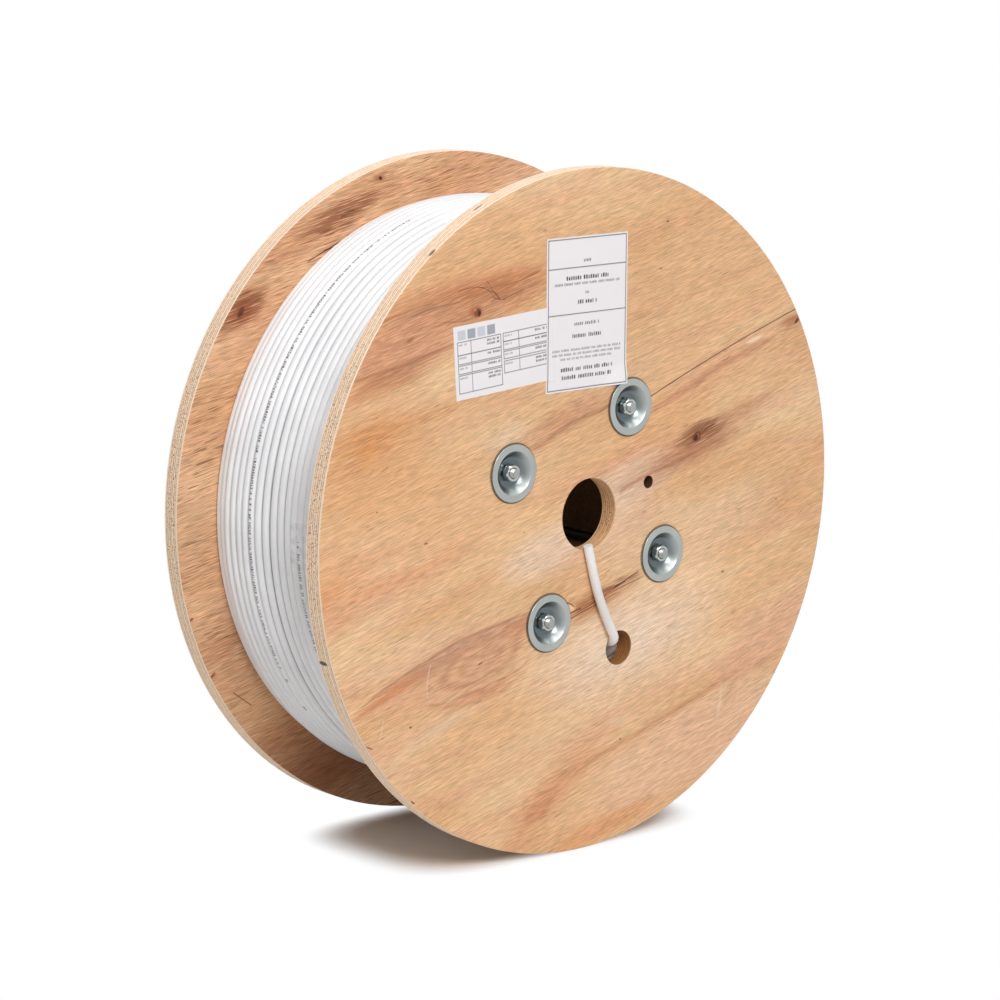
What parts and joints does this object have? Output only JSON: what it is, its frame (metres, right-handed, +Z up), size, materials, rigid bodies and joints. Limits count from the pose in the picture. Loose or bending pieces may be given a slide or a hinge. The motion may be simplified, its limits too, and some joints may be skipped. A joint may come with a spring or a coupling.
{
  "type": "cable drum",
  "caption": "Plywood cable drum standing on its rims, wound full of white cable, with an axle bore, a drive hole, dished bolt washers and the cable's inner end led out through one flange.",
  "frame": {"origin": "The middle of the drum: on the axle bore's axis, midway between the two flanges", "axes": "+Y runs along the axle bore from the front flange, which has the exit hole, to the back flange; +Z is up, with the drum standing on its rims; +X is to the right seen from the front"},
  "size_m": [0.5499, 0.2052, 0.55],
  "materials": {
    "plywood": "raw pine plywood, sawn rim",
    "barrel_board": "wound board tube",
    "cable_jacket": "satin extruded jacket",
    "clear_tape": "clear film",
    "zinc_plated_steel": "bright zinc plate",
    "label_paper": "matt white paper"
  },
  "bodies": {
    "root": {"flange_front": "plywood", "flange_back": "plywood", "barrel": "barrel_board", "cable_winding": "cable_jacket", "cable_tail": "cable_jacket", "end_tape": "clear_tape", "cup_washers_front": "zinc_plated_steel", "cup_washers_back": "zinc_plated_steel", "nuts_front": "zinc_plated_steel", "nuts_back": "zinc_plated_steel", "tie_rod_1": "zinc_plated_steel", "tie_rod_2": "zinc_plated_steel", "tie_rod_3": "zinc_plated_steel", "tie_rod_4": "zinc_plated_steel", "label_landscape": "label_paper", "label_upright": "label_paper"}
  },
  "joints": []
}
